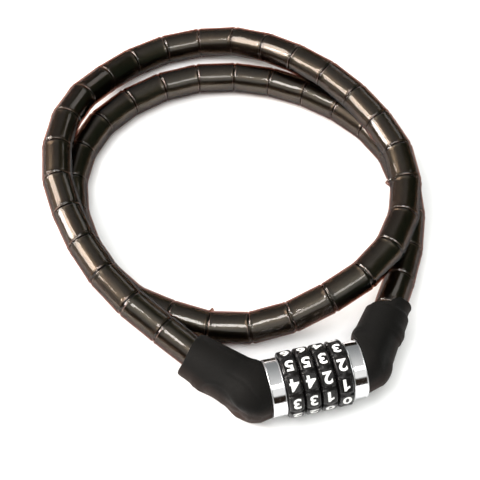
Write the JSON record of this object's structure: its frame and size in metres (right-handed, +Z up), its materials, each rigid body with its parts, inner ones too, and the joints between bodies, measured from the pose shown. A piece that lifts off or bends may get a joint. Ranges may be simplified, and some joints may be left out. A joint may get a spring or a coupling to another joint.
{
  "type": "cable lock",
  "caption": "Armoured cable lock: combination dials and a finned bolt between two rubber elbows, with its steel-sleeved cable laid in a coil.",
  "frame": {"origin": "on the surface the lock lies on, under the middle of the dial stack", "axes": "+X along the lock's axis towards the elbow that pulls out, +Y towards the coil, +Z up"},
  "size_m": [0.2145, 0.2691, 0.0377],
  "materials": {
    "dial_plastic": "glossy black moulded plastic with white pad-printed digits",
    "brass_disc": "turned brass",
    "chrome": "mirror chrome plating",
    "boot_rubber": "matte soft-touch black rubber",
    "sheath_pvc": "smoked translucent glossy vinyl, see-through to the sleeves",
    "armour_steel": "bright pressed steel sleeves",
    "rope_steel": "stranded steel wire rope",
    "zinc_casting": "die-cast zinc, as cast",
    "machined_steel": "turned and milled steel",
    "dark_steel": "hardened spring steel"
  },
  "bodies": {
    "root": {"barrel": "machined_steel", "barrel_pin": "dark_steel", "left_collar": "chrome", "right_collar": "chrome", "end_cap": "machined_steel", "retaining_ring": "dark_steel", "wave_washer": "dark_steel", "detent_leaf": "dark_steel", "left_elbow": "zinc_casting", "left_boot": "boot_rubber", "left_ferrule": "dark_steel", "left_ferrule_pin": "dark_steel", "cable_sleeves": "armour_steel", "cable_sheath": "sheath_pvc", "cable_core": "rope_steel", "tail_sleeves": "armour_steel", "tail_sheath": "sheath_pvc", "tail_core": "rope_steel"},
    "bolt_end": {"bolt": "machined_steel", "bolt_pin": "dark_steel", "right_elbow": "zinc_casting", "right_boot": "boot_rubber", "right_ferrule": "dark_steel", "right_ferrule_pin": "dark_steel"},
    "dial_1_body": {"dial_1": "dial_plastic", "code_disc_1": "brass_disc"},
    "dial_2_body": {"dial_2": "dial_plastic", "code_disc_2": "brass_disc"},
    "dial_3_body": {"dial_3": "dial_plastic", "code_disc_3": "brass_disc"},
    "dial_4_body": {"dial_4": "dial_plastic", "code_disc_4": "brass_disc"}
  },
  "joints": [
    {"name": "dial_1_turn", "type": "hinge", "parent": "root", "child": "dial_1_body", "pos_m": [-0.0132, 0, 0.0175], "axis": [1, 0, 0], "continuous": true},
    {"name": "dial_2_turn", "type": "hinge", "parent": "root", "child": "dial_2_body", "pos_m": [-0.0044, 0, 0.0175], "axis": [1, 0, 0], "continuous": true},
    {"name": "dial_3_turn", "type": "hinge", "parent": "root", "child": "dial_3_body", "pos_m": [0.0044, 0, 0.0175], "axis": [1, 0, 0], "continuous": true},
    {"name": "dial_4_turn", "type": "hinge", "parent": "root", "child": "dial_4_body", "pos_m": [0.0132, 0, 0.0175], "axis": [1, 0, 0], "continuous": true},
    {"name": "bolt_slide", "type": "slide", "parent": "root", "child": "bolt_end", "axis": [1, 0, 0], "range_m": [0, 0.052], "deforming": ["tail_sleeves", "tail_sheath", "tail_core"]}
  ]
}
